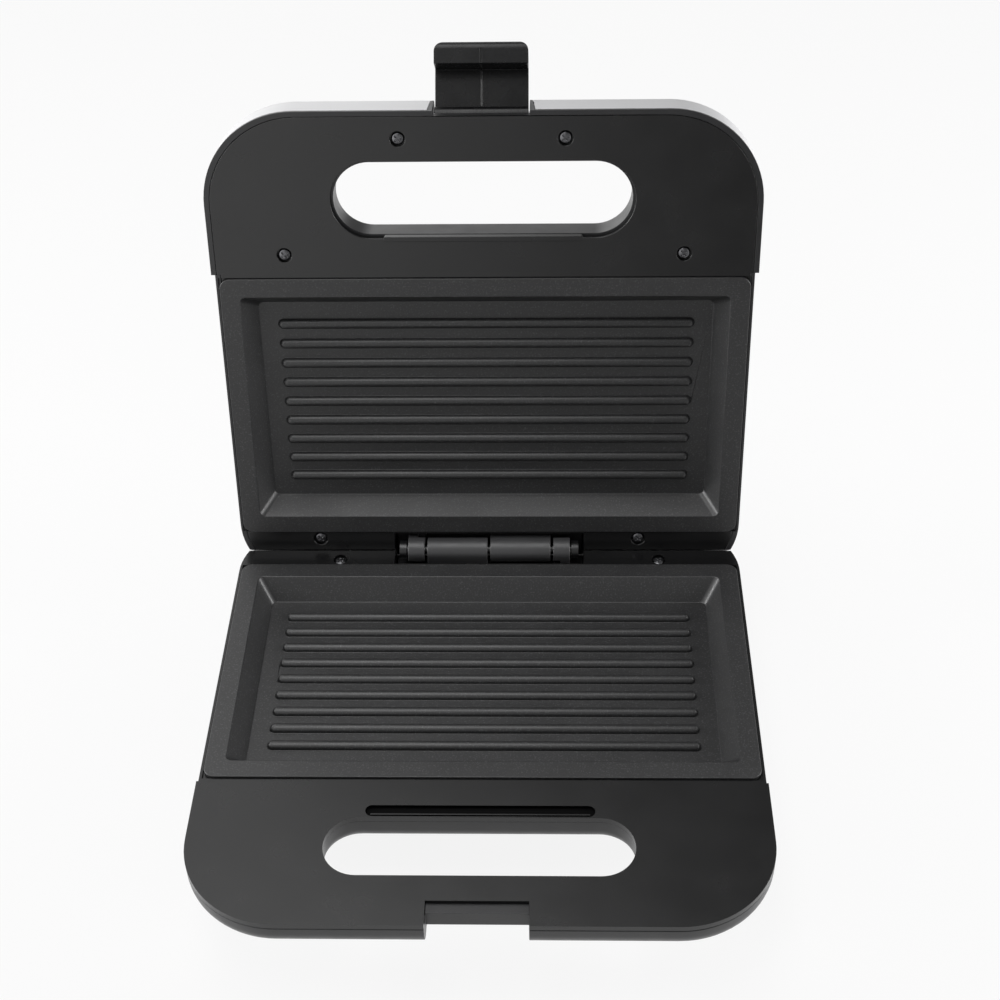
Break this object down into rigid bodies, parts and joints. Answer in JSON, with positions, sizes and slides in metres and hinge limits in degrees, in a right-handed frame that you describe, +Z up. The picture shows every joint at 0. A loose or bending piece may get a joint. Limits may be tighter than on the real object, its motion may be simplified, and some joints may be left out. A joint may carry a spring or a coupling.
{
  "type": "sandwich toaster",
  "caption": "Sandwich toaster standing open, with ribbed non-stick plates in a hinged lid and base, hand slots in both handles and a flip latch on the lid.",
  "frame": {"origin": "under the middle of the open toaster, on the level that its feet stand on", "axes": "+X to the right across the hinge, +Y to the back, +Z up; the handles point along -Y when closed"},
  "size_m": [0.224, 0.2682, 0.2591],
  "materials": {
    "housing": "fine satin moulded plastic",
    "frame": "polished black plastic",
    "plate": "dark grey non-stick coating with fine speckle",
    "cover": "light silver metallic paint",
    "hinge": "satin dark grey plastic",
    "latch": "satin black plastic",
    "steel": "zinc-plated steel",
    "dark_screws": "blackened steel",
    "heater": "heat-tinted steel tube",
    "shield": "bright sheet",
    "ceramic": "heat-resistant moulding",
    "wires": "glass-fibre sleeve",
    "rubber": "soft black rubber",
    "red_lens": "clear red",
    "green_lens": "clear green",
    "lamps": "clear glass"
  },
  "bodies": {
    "base": {"lower_housing": "housing", "lower_frame": "frame", "lower_plate": "plate", "lower_heater": "heater", "lower_heater_clips": "steel", "lower_heat_shield": "shield", "lower_plate_screws": "steel", "thermostat": "ceramic", "thermal_fuse": "ceramic", "terminal_block": "ceramic", "base_wires": "wires", "cord_gland": "rubber", "cord_clamp": "ceramic", "foot_front_left": "rubber", "foot_front_right": "rubber", "foot_rear_left": "rubber", "foot_rear_right": "rubber", "lower_frame_screws": "steel", "lower_rear_screws": "dark_screws", "lower_hinge_bracket": "hinge", "hinge_pin": "steel", "hinge_pin_cap": "hinge"},
    "lid": {"lid_housing": "housing", "lid_outer_cover": "cover", "lid_frame": "frame", "upper_plate": "plate", "upper_heater": "heater", "upper_heater_clips": "steel", "upper_heat_shield": "shield", "upper_plate_screws": "steel", "lid_frame_screws": "dark_screws", "lid_rear_screws": "dark_screws", "lid_hinge_bracket": "hinge", "power_lens": "red_lens", "ready_lens": "green_lens", "indicator_lamps": "lamps", "lamp_holder": "ceramic", "lid_wires": "wires", "latch_pin": "steel"},
    "latch": {"latch": "latch"}
  },
  "joints": [
    {"name": "lid_hinge", "type": "hinge", "parent": "base", "child": "lid", "pos_m": [0, 0.06194, 0.047], "axis": [1, 0, 0], "range_deg": [0, 102]},
    {"name": "latch_hinge", "type": "hinge", "parent": "lid", "child": "latch", "pos_m": [0, 0.11108, 0.23489], "axis": [1, 0, 0], "range_deg": [0, 119]}
  ]
}
